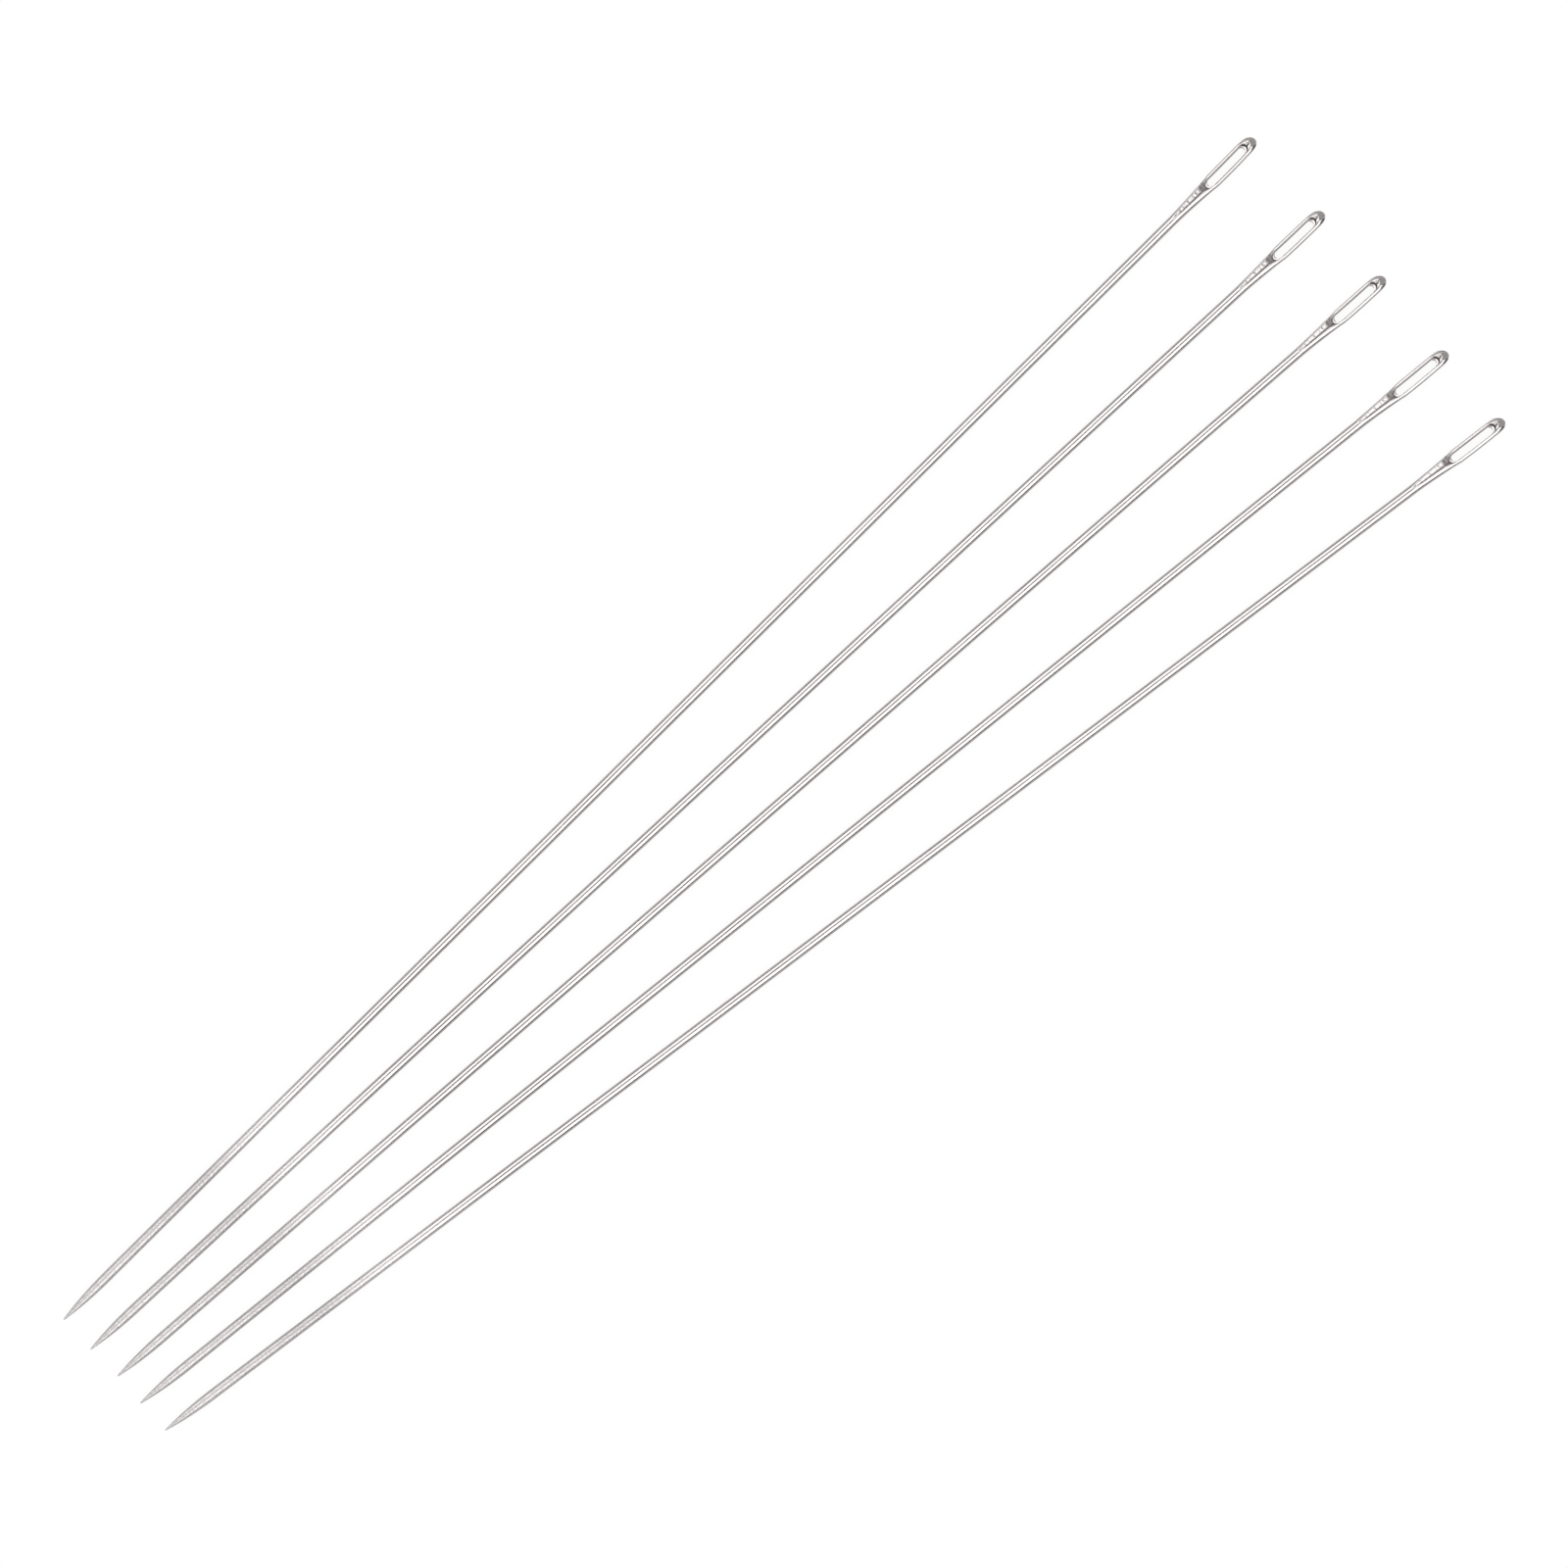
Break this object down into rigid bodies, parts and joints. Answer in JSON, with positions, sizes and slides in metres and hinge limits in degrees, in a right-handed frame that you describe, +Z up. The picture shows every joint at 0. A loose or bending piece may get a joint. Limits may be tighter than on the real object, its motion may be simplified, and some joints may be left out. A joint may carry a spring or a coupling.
{
  "type": "beading needle",
  "caption": "Long slim plated-steel beading needles in a loose fan, each with a ground point, a flat pressed head and a long pierced eye with thread gutters.",
  "frame": {"origin": "on the table, below the middle of the middle needle", "axes": "+X along the middle needle from its point towards its eye, +Y across the fan towards needle_1, +Z up from the table"},
  "size_m": [0.1002, 0.0232, 0.0006],
  "materials": {
    "nickel_plate": "bright nickel plate on drawn steel wire, duller where the point is ground"
  },
  "bodies": {
    "needle_1": {"needle_1": "nickel_plate"},
    "needle_2": {"needle_2": "nickel_plate"},
    "needle_3": {"needle_3": "nickel_plate"},
    "needle_4": {"needle_4": "nickel_plate"},
    "needle_5": {"needle_5": "nickel_plate"}
  },
  "joints": [
    {"name": "needle_1_lift", "type": "slide", "parent": "needle_3", "child": "needle_1", "axis": [0, 0, 1], "range_m": [0, 0.03]},
    {"name": "needle_2_lift", "type": "slide", "parent": "needle_3", "child": "needle_2", "axis": [0, 0, 1], "range_m": [0, 0.03]},
    {"name": "needle_4_lift", "type": "slide", "parent": "needle_3", "child": "needle_4", "axis": [0, 0, 1], "range_m": [0, 0.03]},
    {"name": "needle_5_lift", "type": "slide", "parent": "needle_3", "child": "needle_5", "axis": [0, 0, 1], "range_m": [0, 0.03]}
  ]
}
